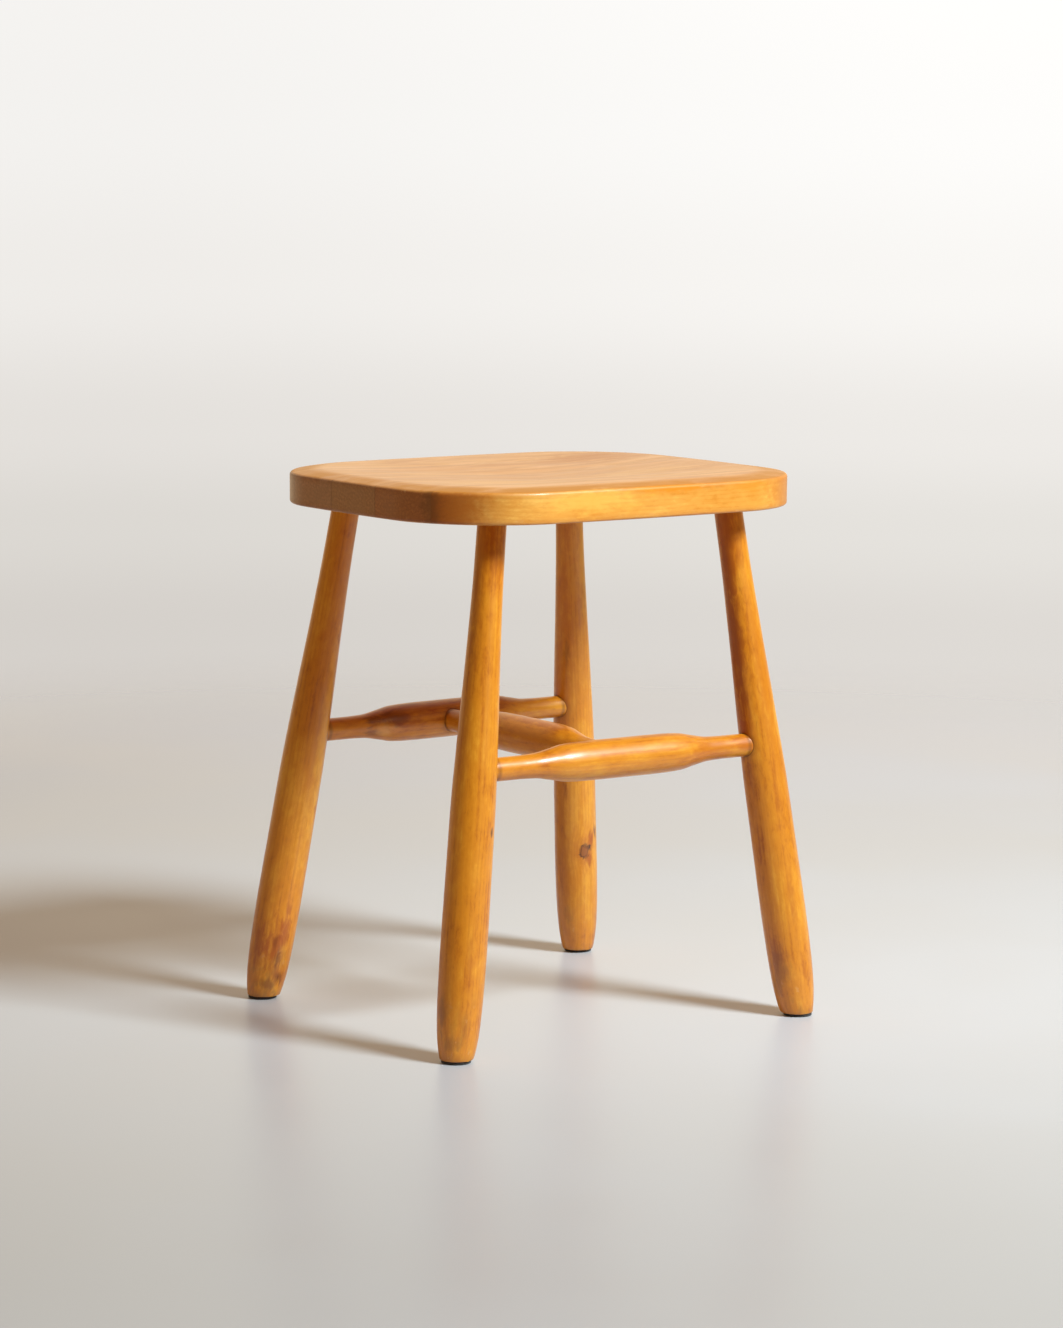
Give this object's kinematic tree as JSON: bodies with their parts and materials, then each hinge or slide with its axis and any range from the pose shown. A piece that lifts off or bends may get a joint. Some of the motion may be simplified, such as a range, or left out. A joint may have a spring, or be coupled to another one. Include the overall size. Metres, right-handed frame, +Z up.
{
  "type": "wooden stool",
  "caption": "Four-legged turned wooden stool with a dished rounded-rectangle seat of edge-glued boards, splayed legs and an H-shaped stretcher.",
  "frame": {"origin": "on the floor, under the middle of the stool's bounding box, which is the middle of the seat left to right", "axes": "+Z up from the floor; +X along the long side of the seat, to a viewer's right who stands in front; the front is at -Y"},
  "size_m": [0.376, 0.3368, 0.45],
  "materials": {
    "seat_wood": "satin varnish",
    "turned_wood": "satin varnish",
    "glide_felt": "matt felt"
  },
  "bodies": {
    "root": {"seat_board_1": "seat_wood", "seat_board_2": "seat_wood", "seat_board_3": "seat_wood", "seat_board_4": "seat_wood", "seat_board_5": "seat_wood", "leg_front_left": "turned_wood", "leg_front_right": "turned_wood", "leg_back_left": "turned_wood", "leg_back_right": "turned_wood", "front_stretcher": "turned_wood", "back_stretcher": "turned_wood", "cross_stretcher": "turned_wood", "foot_glide_front_left": "glide_felt", "foot_glide_front_right": "glide_felt", "foot_glide_back_left": "glide_felt", "foot_glide_back_right": "glide_felt"}
  },
  "joints": []
}
